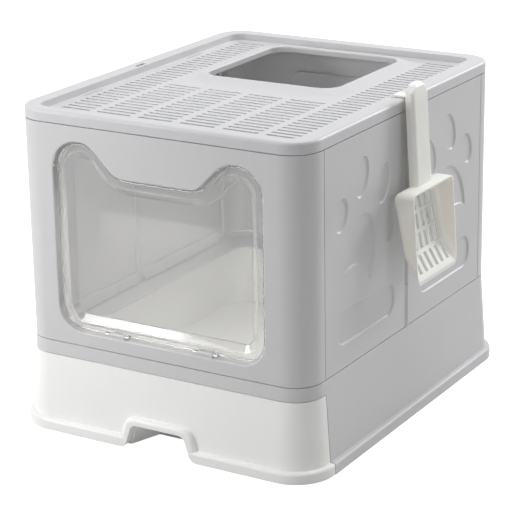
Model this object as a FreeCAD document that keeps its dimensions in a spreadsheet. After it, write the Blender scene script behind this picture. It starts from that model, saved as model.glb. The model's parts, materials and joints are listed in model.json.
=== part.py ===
"""Covered litter box: a base with a slide-out drawer, a wall sleeve that folds on six
upright hinges, a clear cat-ear door, a vented top-entry lid and a scoop hung on its rim.

Millimetres. The origin is on the floor below the middle of the box, -Y is the front."""
import FreeCAD
import Part
import Sketcher
import math
import os
import re

SIZES = [
    # plan and heights of the whole box
    ("wall_width", 380, "outer width of the sleeve"),
    ("wall_depth", 472, "outer depth of the sleeve"),
    ("corner_radius", 35, "outer radius of the upright corners"),
    ("wall", 3, "thickness of the moulded walls"),
    ("base_height", 109.2, "floor to the top of the base"),
    ("sleeve_height", 260, "height of the folding sleeve"),
    ("lid_height", 14.2, "height of the lid's band"),
    ("seam_gap", 0.8, "open line between base, sleeve and lid"),
    # base
    ("skirt_out", 12.5, "how far the skirt stands out of the sleeve's line"),
    ("skirt_height", 14, "height of the skirt"),
    ("skirt_round", 3.5, "rounding of the skirt's shoulder"),
    ("base_flare", 7.2, "how far the base's leaning walls stand out at the floor"),
    ("header", 15.6, "height of the band over the drawer"),
    ("funnel_drop", 7, "fall of the sloped flange inside the base"),
    ("funnel_width", 22, "width of the sloped flange"),
    ("funnel_below", 7, "depth of the flange below the base's top"),
    ("ledge_width", 30, "width of the runners that frame the base's foot"),
    ("ledge", 3, "thickness of the drawer's runners"),
    ("mouth_radius", 12, "corner radius of the mouth over the drawer and between the runners"),
    # drawer
    ("drawer_gap", 1.5, "side play of the drawer in the base"),
    ("slide_gap", 0.4, "play of the drawer over its runners"),
    ("front_gap", 1.2, "open line between the drawer's front and the base's sides"),
    ("drawer_wall", 2.6, "thickness of the drawer's walls and floor"),
    ("floor_gap", 0.8, "height of the drawer's front over the floor"),
    ("notch_width", 89, "finger notch, width at the floor"),
    ("notch_slope", 9.5, "finger notch, narrowing on each side"),
    ("notch_height", 29.5, "finger notch, height"),
    ("notch_depth", 48, "finger notch, depth behind the front"),
    ("notch_round", 9, "finger notch, corner radius"),
    ("notch_flare", 12, "finger notch, rounding where its sides meet the floor"),
    ("notch_taper", 17, "finger notch, narrowing on each side towards its far end"),
    ("notch_fall", 12, "finger notch, fall of its roof towards its far end"),
    ("band_width", 9, "raised band round the finger notch, width"),
    ("band_out", 12, "raised band round the finger notch, how far it stands out of the sleeve's line"),
    ("band_round", 5, "raised band round the finger notch, rounding"),
    # upright hinges of the sleeve
    ("corner_wrap", 40, "how far the front and rear walls reach round the corners"),
    ("knuckle_radius", 3, "outer radius of the hinge knuckles"),
    ("knuckle_gap", 0.4, "gap between hinge knuckles, and to the wall over them"),
    ("bead_out", 2, "how far the side hinge stands out of the wall"),
    ("hinge_gap", 0.5, "gap between a side hinge's barrel and the panels' edges"),
    ("strip_gap", 0.6, "open line between the two strips inside a side hinge"),
    ("strip_wide", 7.5, "strip inside a side hinge, reach on each panel"),
    ("strip_thick", 1.3, "strip inside a side hinge, thickness"),
    ("pin_radius", 1.25, "radius of the hinge pins"),
    ("pin_clearance", 0.05, "radial play of a pin in its knuckles"),
    # tongues that keep the sleeve in the base and in the lid
    ("tab_thick", 2.2, "thickness of a tongue"),
    ("tab_rib", 9, "height of the rib that carries a tongue"),
    ("tab_down", 7.3, "reach of a tongue into the base"),
    ("tab_up", 3, "reach of a tongue into the lid"),
    ("tab_gap", 0.5, "play of a tongue against the rim"),
    ("tab_half", 140, "half the length of the front and rear walls' tongues"),
    ("tab_margin", 8, "distance of a side panel's tongue from its corner hinge"),
    # pressed figures
    ("figure_depth", 1.8, "depth of the pressed paw prints and panels"),
    ("figure_draft", 45, "slope of their edges, degrees"),
    ("paw_middle", 100.5, "paw print, distance from the middle of the side"),
    ("paw_height", 266, "paw print, height of its outer toes over the floor"),
    ("paw_tilt", 20.5, "paw print, tilt away from upright, degrees"),
    ("toe_long", 43.6, "inner toe, length of its floor"),
    ("toe_wide", 25.6, "inner toe, width of its floor"),
    ("outer_toe_long", 35.6, "outer toe, length of its floor"),
    ("outer_toe_wide", 23.8, "outer toe, width of its floor"),
    ("toe_spread", 28, "inner toes, distance from the paw's axis"),
    ("toe_rise", 46, "inner toes, rise over the outer toes"),
    ("outer_toe_spread", 61.5, "outer toes, distance from the paw's axis"),
    ("palm_wide", 71.6, "palm, width of its floor"),
    ("palm_long", 100.6, "palm, length of its floor's ellipse"),
    ("palm_drop", 42, "palm, drop of its ellipse below the outer toes"),
    ("palm_notch_radius", 44.6, "palm, radius of the arch cut in its foot"),
    ("palm_notch_drop", 92, "palm, drop of that arch's centre"),
    ("panel_long", 133.2, "pressed panel below the paw, length of its floor"),
    ("panel_high", 36.2, "pressed panel below the paw, height of its floor"),
    ("panel_round", 14.8, "pressed panel below the paw, corner radius"),
    ("panel_lift", 28.9, "pressed panel below the paw, height over the sleeve's foot"),
    ("back_panel_wide", 196, "pressed panel of the rear wall, width"),
    ("back_panel_high", 197.4, "pressed panel of the rear wall, height"),
    ("back_panel_round", 18, "pressed panel of the rear wall, corner radius"),
    # door opening and door
    ("door_half", 139, "half the width of the door opening at the front"),
    ("sill_lift", 14, "door opening, height of its sill over the sleeve's foot"),
    ("ear_drop", 16, "door opening, ears below the sleeve's top"),
    ("brow_drop", 51.7, "door opening, brow between the ears below the sleeve's top"),
    ("ear_radius", 36, "door opening, radius of the ears"),
    ("brow_radius", 25, "door opening, radius between ear and brow"),
    ("sill_radius", 33, "door opening, radius of its lower corners"),
    ("lip_inset", 2.2, "door opening, inset of its return lip"),
    ("lip_round", 2, "door opening, rounding of its front edge"),
    ("return_depth", 24, "depth of the return lip round the opening"),
    ("return_wall", 2.4, "thickness of the return lip"),
    ("door_gap", 2.1, "gap between the door and its opening"),
    ("door_setback", 5, "door rim behind the front of the wall"),
    ("door_depth", 8, "front to back depth of the door"),
    ("rim_width", 9, "width of the door's hollow rim at its front"),
    ("rim_round", 1.2, "rounding of the door rim's front edges"),
    ("dish_slope", 8.8, "inset of the dish's sloped sides"),
    ("dish_side", 2.4, "thickness of the dish's sloped sides, measured across the door"),
    ("door_wall", 2, "wall thickness of the door"),
    ("door_axis_lift", 1.8, "door hinge axis over the door's lower edge"),
    ("lug_middle", 59, "door hinges, distance from the middle"),
    ("lug_width", 20, "door hinges, width of a lug"),
    ("lug_radius", 2, "door hinges, radius of a lug"),
    ("lug_post", 2.8, "door hinges, thickness of the post under a lug"),
    ("lug_gap", 1, "door hinges, gap beside a lug"),
    ("lug_clear", 0.6, "door hinges, gap between a lug and the door's front"),
    ("door_pin_radius", 1, "door hinges, pin radius"),
    ("cheek", 5, "door hinges, thickness of the cheeks that hold a pin"),
    ("rim_slit", 2, "slit in the door's rim over a hinge, height"),
    ("rim_slit_lift", 4.1, "slit in the door's rim over a hinge, height over the door's foot"),
    ("snap_radius", 2, "door snap bumps, radius"),
    ("snap_gap", 0.6, "door snap bumps, gap to the opening's return"),
    ("snap_drop", 55, "door snap bumps below the sleeve's top"),
    # lid
    ("lid_round", 4.5, "rounding of the lid's outer edge"),
    ("rim", 22, "width of the raised rim at the deck's sides and rear"),
    ("rim_front", 14, "width of the raised rim in front of the deck"),
    ("recess", 8, "depth of the deck below the rim"),
    ("deck", 2.4, "thickness of the deck"),
    ("recess_radius", 16, "corner radius of the deck"),
    ("entry_wide", 178.5, "top opening, width"),
    ("entry_deep", 181, "top opening, depth"),
    ("entry_back", 95, "top opening, middle behind the lid's middle"),
    ("entry_radius", 22, "top opening, corner radius"),
    ("entry_rise", 5, "raised lip round the top opening, height over the deck"),
    ("entry_ramp", 18, "raised lip round the top opening, width of its slope"),
    ("entry_crown", 4.5, "raised lip round the top opening, width of its flat crown"),
    ("entry_round", 2, "raised lip round the top opening, rounding of its inner edge"),
    ("vent_wide", 4.2, "vent slot, width"),
    ("vent_long", 44.5, "vent slot, length in the inner columns"),
    ("vent_side_long", 38, "vent slot, length in the side columns"),
    ("vent_step", 11.3, "spacing of the vent rows"),
    ("vent_column", 55.5, "spacing of the inner vent columns"),
    ("vent_side", 134.7, "side vent columns, distance from the middle"),
    ("vent_front", 189.5, "first vent row, distance in front of the middle"),
    ("slit_long", 36, "snap slit, length"),
    ("slit_wide", 1.8, "snap slit, width"),
    ("slit_inset", 5, "snap slit, distance from the recess wall"),
    ("slit_front", 117, "front snap slit, distance in front of the middle"),
    ("slit_rear", 102, "rear snap slit, distance behind the middle"),
    ("hang_long", 19, "hanging slot in the rim, length"),
    ("hang_wide", 5, "hanging slot in the rim, width"),
    ("hang_inset", 15, "hanging slot, distance in from the lid's side"),
    # scoop
    ("scoop_lean", 3.6, "scoop, lean off the wall, degrees"),
    ("scoop_clear", 6, "scoop, gap between its handle and the lid's side"),
    ("handle_wide", 40, "scoop handle, width"),
    ("handle_thick", 10, "scoop handle, thickness"),
    ("handle_above", 18, "scoop handle, height over the lid"),
    ("handle_below", 98.5, "scoop handle, reach below the lid's top"),
    ("handle_crown", 15, "scoop handle, radius of its top corners"),
    ("handle_round", 5.5, "scoop handle, rounding of its front edges"),
    ("hook_wide", 16, "scoop hook, width"),
    ("hook_thick", 2.6, "scoop hook, thickness"),
    ("hook_down", 7, "scoop hook, reach into the rim"),
    ("hook_gap", 0.4, "scoop hook, gap over the rim"),
    ("bowl_wide", 103, "scoop bowl, width"),
    ("bowl_long", 107.5, "scoop bowl, length"),
    ("bowl_deep", 29, "scoop bowl, depth under the handle"),
    ("bend_drop", 75, "scoop bowl, drop of the bend in its floor"),
    ("bend_deep", 18, "scoop bowl, depth at that bend"),
    ("bend_round", 25, "scoop bowl, radius of that bend"),
    ("mouth_out", 11, "scoop bowl, open side in front of the handle"),
    ("bowl_wall", 2.2, "scoop bowl, wall thickness"),
    ("bowl_round", 10, "scoop bowl, radius between floor and top"),
    ("side_round", 8, "scoop bowl, radius along its sides"),
    ("sift_wide", 6.5, "scoop slot, width"),
    ("sift_long", 18, "scoop slot, length"),
    ("sift_foot", 10, "scoop slots, distance of the first row from the lip"),
    ("sift_step", 13.5, "spacing of the scoop slots across the bowl"),
    ("sift_row", 22, "spacing of the scoop slots down the bowl"),
]

KNUCKLES = 5
INNER_VENT_COLUMNS = 4
INNER_VENT_ROWS = 14
SIDE_VENT_ROWS = 35
SIFT_COLUMNS = 6
SIFT_ROWS = 4

doc = FreeCAD.newDocument("litter_box")
sheet = doc.addObject("Spreadsheet::Sheet", "sizes")
for row, (alias, number, note) in enumerate(SIZES, 1):
    sheet.set(f"A{row}", note)
    sheet.set(f"B{row}", str(number))
    sheet.setAlias(f"B{row}", alias)
doc.recompute()
ALIASES = {alias for alias, number, note in SIZES}

# heights that several pieces share
SLEEVE_FOOT = "(base_height + seam_gap)"
SLEEVE_TOP = f"({SLEEVE_FOOT} + sleeve_height)"
LID_FOOT = f"({SLEEVE_TOP} + seam_gap)"
LID_TOP = f"({LID_FOOT} + lid_height)"
DECK_TOP = f"({LID_TOP} - recess)"
DECK_UNDER = f"({DECK_TOP} - deck)"
BAY_TOP = "(base_height - header)"
FUNNEL_TOP = "(base_height - funnel_below)"

# plan lines that several pieces share
SIDE = "(wall_width / 2)"
FRONT = "(-wall_depth / 2)"
REAR = "(wall_depth / 2)"
INSIDE = f"({SIDE} - wall)"
CORNER_Y = "(wall_depth / 2 - corner_wrap)"
CORNER_X = f"({INSIDE} - knuckle_gap - knuckle_radius)"
MIDDLE_X = f"({SIDE} - knuckle_radius + bead_out)"
KNUCKLE_STEP = f"(sleeve_height / {KNUCKLES})"
HALF_SEAM = "(seam_gap / 2)"
INSIDE_RADIUS = "(corner_radius - wall)"


def tie(text):
    """Expression text in which every size name points at its cell."""
    return re.sub(r"[a-z_]+", lambda word: ("sizes." if word[0] in ALIASES else "") + word[0], text)


def value(text):
    return float(sheet.evalExpression(tie(text)))


def bind(item, **sizes):
    """Tie properties of a document object to expressions over the sizes."""
    for name, text in sizes.items():
        item.setExpression(name, tie(text))


def place(item, x="0", y="0", z="0"):
    for axis, text in zip("xyz", (x, y, z)):
        item.setExpression(f"Placement.Base.{axis}", tie(text))


# Sketched bodies

PLANES = {"top": "XY_Plane", "front": "XZ_Plane", "side": "YZ_Plane"}


def new_body(label):
    body = doc.addObject("PartDesign::Body", label)
    body.Label = label
    return body


def origin_item(body, role):
    return [item for item in body.Origin.OriginFeatures if item.Role == role][0]


def new_sketch(body, plane, start):
    """Sketch on a plane square to an axis, at the coordinate start on that axis."""
    sketch = body.newObject("Sketcher::SketchObject", f"{body.Label}_outline")
    sketch.AttachmentSupport = (origin_item(body, PLANES[plane]), [""])
    sketch.MapMode = "FlatFace"
    shift = f"-({start})" if plane == "front" else start
    sketch.setExpression("AttachmentOffset.Base.z", tie(shift))
    return sketch


def rectangle(x0, x1, y0, y1, radius="0"):
    return [(x0, y0, radius), (x1, y0, radius), (x1, y1, radius), (x0, y1, radius)]


def centred(width, depth, radius="0"):
    half_width, half_depth = f"({width}) / 2", f"({depth}) / 2"
    return rectangle(f"-({half_width})", half_width, f"-({half_depth})", half_depth, radius)


def draw_outline(sketch, corners):
    """Closed outline through (x, y, radius) corners, each fixed by named constraints."""
    mark = str(sketch.GeometryCount)
    spots = [FreeCAD.Vector(value(x), value(y), 0) for x, y, radius in corners]
    rounds = [value(radius) for x, y, radius in corners]
    count = len(corners)
    ends = []
    for i, spot in enumerate(spots):
        back = (spots[i - 1] - spot).normalize()
        ahead = (spots[(i + 1) % count] - spot).normalize()
        half = back.getAngle(ahead) / 2
        reach = rounds[i] / math.tan(half)
        centre = spot + (back + ahead).normalize() * (rounds[i] / math.sin(half))
        left_turn = back.cross(ahead).z < 0
        ends.append((spot + back * reach, spot + ahead * reach, centre, left_turn))
    first_line = sketch.GeometryCount
    for i in range(count):
        sketch.addGeometry(Part.LineSegment(ends[i][1], ends[(i + 1) % count][0]))
    rules = []
    names = []
    for i, (x, y, radius) in enumerate(corners):
        line_in, line_out = first_line + (i - 1) % count, first_line + i
        if rounds[i] == 0:
            rules.append(Sketcher.Constraint("Coincident", line_in, 2, line_out, 1))
            held = (line_out, 1)
        else:
            start, finish, centre, left_turn = ends[i]
            begin, close = (start, finish) if left_turn else (finish, start)
            circle = Part.Circle(centre, FreeCAD.Vector(0, 0, 1), rounds[i])
            turn = Part.ArcOfCircle(circle, circle.parameter(begin), circle.parameter(close))
            arc = sketch.addGeometry(turn)
            point = sketch.addGeometry(Part.Point(spots[i]), True)
            rules.append(Sketcher.Constraint("Tangent", line_in, 2, arc, 1 if left_turn else 2))
            rules.append(Sketcher.Constraint("Tangent", line_out, 1, arc, 2 if left_turn else 1))
            rules.append(Sketcher.Constraint("PointOnObject", point, 1, line_in))
            rules.append(Sketcher.Constraint("PointOnObject", point, 1, line_out))
            rules.append(Sketcher.Constraint("Radius", arc, rounds[i]))
            names.append((len(rules) - 1, f"r{mark}_{i}", radius))
            held = (point, 1)
        for kind, text, size in (("DistanceX", x, spots[i].x), ("DistanceY", y, spots[i].y)):
            rules.append(Sketcher.Constraint(kind, -1, 1, held[0], held[1], size))
            names.append((len(rules) - 1, f"{kind[-1].lower()}{mark}_{i}", text))
    first_rule = sketch.ConstraintCount
    sketch.addConstraint(rules)
    for index, name, text in names:
        sketch.renameConstraint(first_rule + index, name)
        sketch.setExpression(f"Constraints.{name}", tie(text))


def draw_circle(sketch, x, y, radius):
    mark = str(sketch.GeometryCount)
    spot = FreeCAD.Vector(value(x), value(y), 0)
    circle = sketch.addGeometry(Part.Circle(spot, FreeCAD.Vector(0, 0, 1), value(radius)))
    rules = [("Radius", (circle, value(radius)), f"r{mark}", radius),
             ("DistanceX", (-1, 1, circle, 3, spot.x), f"x{mark}", x),
             ("DistanceY", (-1, 1, circle, 3, spot.y), f"y{mark}", y)]
    for kind, places, name, text in rules:
        index = sketch.addConstraint(Sketcher.Constraint(kind, *places))
        sketch.renameConstraint(index, name)
        sketch.setExpression(f"Constraints.{name}", tie(text))


def extrude(kind, body, plane, start, length, loops):
    """Pad or Pocket from the coordinate start, along the plane's axis by length."""
    sketch = new_sketch(body, plane, start)
    for loop in loops:
        if isinstance(loop, tuple):
            draw_circle(sketch, *loop)
        else:
            draw_outline(sketch, loop)
    feature = body.newObject(f"PartDesign::{kind}", f"{body.Label}_{kind.lower()}")
    feature.Profile = sketch
    feature.Reversed = (plane == "front") == (kind == "Pad")
    bind(feature, Length=length)
    return feature


def pad(body, plane, start, length, *loops):
    return extrude("Pad", body, plane, start, length, loops)


def pocket(body, plane, start, length, *loops):
    return extrude("Pocket", body, plane, start, length, loops)


def loft(kind, body, plane, *sections):
    """Straight-sided solid (Additive) or cut (Subtractive) between two (start, outline) sections."""
    sketches = []
    for start, outline in sections:
        sketches.append(new_sketch(body, plane, start))
        draw_outline(sketches[-1], outline)
    feature = body.newObject(f"PartDesign::{kind}Loft", f"{body.Label}_{kind.lower()}_loft")
    feature.Profile = sketches[0]
    feature.Sections = sketches[1:]
    feature.Ruled = True
    return feature


def repeat(body, features, axis, step, copies):
    """Row of copies of some features along an axis of the body."""
    pattern = body.newObject("PartDesign::LinearPattern", f"{body.Label}_row")
    pattern.Originals = features
    pattern.Direction = (origin_item(body, f"{axis}_Axis"), [""])
    pattern.Occurrences = copies
    bind(pattern, Length=f"({step}) * {copies - 1}")
    body.Tip = pattern
    return pattern


def round_edges(body, radius, wanted):
    """Fillet on the edges of the body's last feature for which wanted is true."""
    doc.recompute()
    base = body.Tip
    names = [f"Edge{i}" for i, edge in enumerate(base.Shape.Edges, 1) if wanted(edge.BoundBox)]
    if not names:
        raise RuntimeError(f"no edge to round on {body.Label}")
    fillet = body.newObject("PartDesign::Fillet", f"{body.Label}_round")
    fillet.Base = (base, names)
    bind(fillet, Radius=radius)
    return fillet


def at(number, target):
    return abs(number - target) < 0.01


def level(box, height):
    return at(box.ZMin, height) and at(box.ZMax, height)


# Base with the drawer's bay

def rear_round(side, front, rear, radius):
    """Plan with square front corners and rounded rear corners."""
    return [(f"-{side}", front, "0"), (side, front, "0"), (side, rear, radius), (f"-{side}", rear, radius)]


def lean(z):
    """How far the base's and the drawer's leaning walls stand out at the height z."""
    return f"(base_flare * (1 - ({z}) / base_height))"


def box_plan(out):
    """Plan of the whole box, grown by out beyond the sleeve's line."""
    return centred(f"wall_width + 2 * {out}", f"wall_depth + 2 * {out}", f"corner_radius + {out}")


def make_base():
    body = new_body("base_housing")
    pad(body, "top", "0", "skirt_height", box_plan("skirt_out"))
    round_edges(body, "skirt_round", lambda box: level(box, value("skirt_height")))
    loft("Additive", body, "top", ("0", box_plan(lean("0"))), ("base_height", box_plan("0")))
    pocket(body, "top", FUNNEL_TOP, "base_height", box_plan("-wall"))
    mouth = centred("wall_width - 2 * (wall + funnel_width)", "wall_depth - 2 * (wall + funnel_width)",
                    "mouth_radius")
    loft("Subtractive", body, "top", (FUNNEL_TOP, box_plan("-wall")), (f"{FUNNEL_TOP} - funnel_drop", mouth))
    pocket(body, "top", "ledge", "base_height", mouth)

    def bay(z):
        out = lean(z)
        return (z, rear_round(f"({INSIDE} + {out})", f"-({CORNER_Y} + wall)", f"({REAR} - wall + {out})",
                              f"{INSIDE_RADIUS} + {out}"))

    loft("Subtractive", body, "top", bay("ledge"), bay(BAY_TOP))
    window_side, window_front = f"({INSIDE} - ledge_width)", f"(ledge_width - {CORNER_Y})"
    window_rear, middle = f"({REAR} - wall - ledge_width)", "(ledge_width / 2)"
    pocket(body, "top", "0", "2 * ledge",
           rectangle(middle, window_side, window_front, window_rear, "mouth_radius"),
           rectangle(f"-{window_side}", f"-{middle}", window_front, window_rear, "mouth_radius"))
    pocket(body, "top", "0", BAY_TOP,
           rectangle("-wall_width", "wall_width", "-wall_depth", f"-{CORNER_Y}"))
    return body


# Drawer whose front wraps round the base's front corners

def front_plan(out, radius, back):
    """Plan of the drawer's front, grown by out beyond the wall line and closed at the line back."""
    side, front = f"({SIDE} + {out})", f"({FRONT} - ({out}))"
    return [(f"-{side}", back, "0"), (f"-{side}", front, radius), (side, front, radius), (side, back, "0")]


def notch_corners(grow, far):
    """Half widths at foot and crown, and the top, of the finger notch; far is 1 at its far end."""
    foot = f"(notch_width / 2 - {far} * notch_taper + {grow})"
    return foot, f"({foot} - notch_slope)", f"(floor_gap + notch_height - {far} * notch_fall + {grow})"


def notch_outline(grow, low, far=0):
    foot, crown, top = notch_corners(grow, far)
    corner = f"notch_round + {grow}"
    return [(f"-{foot}", low, "0"), (foot, low, "0"), (crown, top, corner), (f"-{crown}", top, corner)]


def flared_notch():
    """Finger notch with its sides rounded into the drawer's foot, open below."""
    foot, crown, top = notch_corners("0", 0)
    low, beyond = "floor_gap / 2", "notch_width"
    return [(f"-{beyond}", "-floor_gap", "0"), (beyond, "-floor_gap", "0"), (beyond, low, "0"),
            (foot, low, "notch_flare"), (crown, top, "notch_round"), (f"-{crown}", top, "notch_round"),
            (f"-{foot}", low, "notch_flare"), (f"-{beyond}", low, "0")]


def make_drawer():
    body = new_body("drawer")
    drawer_top = f"({BAY_TOP} - seam_gap)"
    drawer_foot = "(ledge + slide_gap)"
    cavity_floor = f"({drawer_foot} + drawer_wall)"
    seam = f"(-({CORNER_Y} + front_gap))"

    def front(z, inset):
        out = f"({lean(z)} - {inset})"
        back = seam if inset == "0" else f"({seam} - drawer_wall)"
        return (z, front_plan(out, f"corner_radius + {out}", back))

    def tray(z, inset, start):
        out = f"({lean(z)} - drawer_gap - {inset})"
        return (z, rear_round(f"({INSIDE} + {out})", start, f"({REAR} - wall + {out})",
                              f"{INSIDE_RADIUS} + {out}"))

    pad(body, "top", "floor_gap", "skirt_height - floor_gap",
        front_plan("skirt_out", "corner_radius + skirt_out", seam))
    round_edges(body, "skirt_round",
                lambda box: level(box, value("skirt_height")) and box.YMin < value(f"{seam} - 1"))
    loft("Additive", body, "top", front("floor_gap", "0"), front(drawer_top, "0"))
    face = f"({FRONT} - band_out)"
    pad(body, "front", face, "band_out - wall", notch_outline("band_width", "floor_gap"))
    round_edges(body, "band_round", lambda box: at(box.YMin, value(face)) and at(box.YMax, value(face))
                and box.ZMax > value("skirt_height"))
    tray_front = f"({seam} - drawer_wall)"
    loft("Additive", body, "top", tray(drawer_foot, "0", tray_front), tray(drawer_top, "0", tray_front))
    throat = f"({seam} - corner_wrap / 2)"
    loft("Subtractive", body, "top", tray(cavity_floor, "drawer_wall", throat),
         tray("base_height", "drawer_wall", throat))
    loft("Subtractive", body, "top", front(cavity_floor, "wall"), front("base_height", "wall"))
    behind, far = f"({FRONT} - wall)", f"({FRONT} + notch_depth)"
    loft("Additive", body, "front", (behind, notch_outline("drawer_wall", drawer_foot)),
         (f"({far} + drawer_wall)", notch_outline("drawer_wall", drawer_foot, 1)))
    pocket(body, "front", f"{FRONT} - 2 * skirt_out", "2 * skirt_out", flared_notch())
    loft("Subtractive", body, "front", (behind, notch_outline("0", "-floor_gap")),
         (far, notch_outline("0", "-floor_gap", 1)))
    return body


# Sleeve walls and their upright hinges

def knuckles(body, x, y, web, first):
    """Every second knuckle of a hinge at (x, y), each with a web that joins it to its wall."""
    copies = KNUCKLES // 2 + 1 - first
    start = f"{SLEEVE_FOOT} + {KNUCKLE_STEP} * {first} + knuckle_gap / 2"
    length = f"{KNUCKLE_STEP} - knuckle_gap"
    barrel = pad(body, "top", start, length, (x, y, "knuckle_radius"))
    strap = pad(body, "top", start, length, web)
    repeat(body, [barrel, strap], "Z", f"2 * {KNUCKLE_STEP}", copies)


def bore(body, x, y):
    pocket(body, "top", "0", "2 * " + LID_TOP, (x, y, "pin_radius + pin_clearance"))


def tongues(body, rib, tongue):
    """Tongues at foot and top of a wall: a rib on its inside, and a thin part beyond its edge."""
    pad(body, "top", SLEEVE_FOOT, "tab_rib", rib)
    pad(body, "top", f"{SLEEVE_TOP} - tab_rib", "tab_rib", rib)
    pad(body, "top", f"{SLEEVE_FOOT} - tab_down", "tab_down + tab_rib / 2", tongue)
    pad(body, "top", f"{SLEEVE_TOP} - tab_rib / 2", "tab_up + tab_rib / 2", tongue)


def ordered(end, near, far):
    """Two lines given from the middle outwards, in rising order at that end of the box."""
    return (near, far) if end > 0 else (far, near)


def wrapped_wall(label, end):
    """Front (end -1) or rear (end 1) wall with its two rounded corners and hinge knuckles."""
    body = new_body(label)
    face, inner = f"({end} * {REAR})", f"({end} * ({REAR} - wall))"
    edge = f"({end} * ({CORNER_Y} + {HALF_SEAM}))"
    outline = [(f"-{SIDE}", edge, "0"), (f"-{SIDE}", face, "corner_radius"), (SIDE, face, "corner_radius"),
               (SIDE, edge, "0"), (INSIDE, edge, "0"), (INSIDE, inner, INSIDE_RADIUS),
               (f"-{INSIDE}", inner, INSIDE_RADIUS), (f"-{INSIDE}", edge, "0")]
    pad(body, "top", SLEEVE_FOOT, "sleeve_height", outline)
    axis_y = f"({end} * {CORNER_Y})"
    low, high = ordered(end, edge, f"({end} * ({CORNER_Y} + knuckle_radius))")
    deep = f"({INSIDE} + wall / 2)"
    for hand, x0, x1 in (("", CORNER_X, deep), ("-", f"-{deep}", f"-{CORNER_X}")):
        knuckles(body, f"{hand}{CORNER_X}", axis_y, rectangle(x0, x1, low, high), 0)
        bore(body, f"{hand}{CORNER_X}", axis_y)
    thick_in = f"({end} * ({REAR} - wall - tab_gap - tab_thick))"
    wall_in = f"({end} * ({REAR} - wall / 2))"
    gap_in = f"({end} * ({REAR} - wall - tab_gap))"
    tongues(body, rectangle("-tab_half", "tab_half", *ordered(end, thick_in, wall_in)),
            rectangle("-tab_half", "tab_half", *ordered(end, thick_in, gap_in)))
    return body


def ear_outline(inset):
    """Cat-ear outline of the door opening, moved inwards by inset."""
    half = f"(door_half - {inset})"
    foot = f"({SLEEVE_FOOT} + sill_lift + {inset})"
    ear = f"(ear_radius - {inset})"
    peak = f"({SLEEVE_TOP} - ear_drop - {inset} + {ear} * sqrt(2))"
    brow = f"({SLEEVE_TOP} - brow_drop - {inset})"
    dip = f"({half} + {brow} - {peak})"
    sill, fold = f"sill_radius - {inset}", f"brow_radius + {inset}"
    return [(f"-{half}", foot, sill), (half, foot, sill), (half, peak, ear), (dip, brow, fold),
            (f"-{dip}", brow, fold), (f"-{half}", peak, ear)]


DOOR_FRONT = f"({FRONT} + door_setback)"
DOOR_INSET = "(lip_inset + door_gap)"
DOOR_FOOT = f"({SLEEVE_FOOT} + sill_lift + {DOOR_INSET})"
DOOR_AXIS_Y = f"({DOOR_FRONT} - lug_clear - lug_radius)"
DOOR_AXIS_Z = f"({DOOR_FOOT} + door_axis_lift)"


def make_front_wall():
    body = wrapped_wall("front_wall", -1)
    pad(body, "front", f"{FRONT} + wall / 2", "return_depth - wall / 2",
        ear_outline("(lip_inset - return_wall)"))
    pocket(body, "front", f"{FRONT} - wall", "return_depth + 2 * wall", ear_outline("lip_inset"))
    front = value(FRONT)
    reach = value("door_half") + 1
    round_edges(body, "lip_round",
                lambda box: at(box.YMin, front) and at(box.YMax, front) and max(-box.XMin, box.XMax) < reach
                and box.ZMin > value(f"{SLEEVE_FOOT} + 1") and box.ZMax < value(f"{SLEEVE_TOP} - 1"))
    foot = f"({SLEEVE_FOOT} + sill_lift - wall / 2)"
    for hand in (-1, 1):
        middle = f"({hand} * lug_middle)"
        x0 = f"({middle} - lug_width / 2)"
        pad(body, "side", x0, "lug_width", (DOOR_AXIS_Y, DOOR_AXIS_Z, "lug_radius"))
        pad(body, "side", x0, "lug_width",
            rectangle(f"{DOOR_AXIS_Y} - lug_post / 2", f"{DOOR_AXIS_Y} + lug_post / 2", foot, DOOR_AXIS_Z))
        pocket(body, "side", f"{x0} - lug_gap", "lug_width + 2 * lug_gap",
               (DOOR_AXIS_Y, DOOR_AXIS_Z, "door_pin_radius + pin_clearance"))
    return body


def make_rear_wall():
    body = wrapped_wall("rear_wall", 1)
    middle = f"({SLEEVE_FOOT} + sleeve_height / 2)"
    panel = rectangle("-back_panel_wide / 2", "back_panel_wide / 2", f"{middle} - back_panel_high / 2",
                      f"{middle} + back_panel_high / 2", "back_panel_round")
    pad(body, "front", f"{REAR} - wall - figure_depth", "wall", panel)
    pocket(body, "front", f"{REAR} - figure_depth", "wall", panel)
    return body


def paw(label, end):
    """Tool for a pressed paw print on the right side, tilted towards the middle of the box."""
    toes = []
    rows = [("toe_wide", "toe_long", "toe_spread", "toe_rise"),
            ("outer_toe_wide", "outer_toe_long", "outer_toe_spread", "0")]
    for wide, long, spread, rise in rows:
        for hand in ("-", ""):
            toes.append(oval(f"{label}_toe", wide, long, f"{hand}{spread}", rise))
    palm = oval(f"{label}_palm", "palm_wide", "palm_long", "0", "-palm_drop")
    arch = doc.addObject("Part::Cone", f"{label}_arch")
    bind(arch, Radius1="palm_notch_radius", Radius2="palm_notch_radius - wall * tan(figure_draft)",
         Height="wall")
    place(arch, y="-palm_notch_drop")
    pad_print = doc.addObject("Part::Cut", f"{label}_pad")
    pad_print.Base, pad_print.Tool = palm, arch
    tool = doc.addObject("Part::MultiFuse", label)
    tool.Shapes = toes + [pad_print]
    upright = FreeCAD.Rotation(FreeCAD.Vector(1, 1, 1), 120)
    tilt = FreeCAD.Rotation(FreeCAD.Vector(0, 0, 1), end * value("paw_tilt"))
    tool.Placement = FreeCAD.Placement(FreeCAD.Vector(), upright * tilt)
    place(tool, f"{SIDE} - figure_depth", f"{end} * paw_middle", "paw_height")
    return tool


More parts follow.
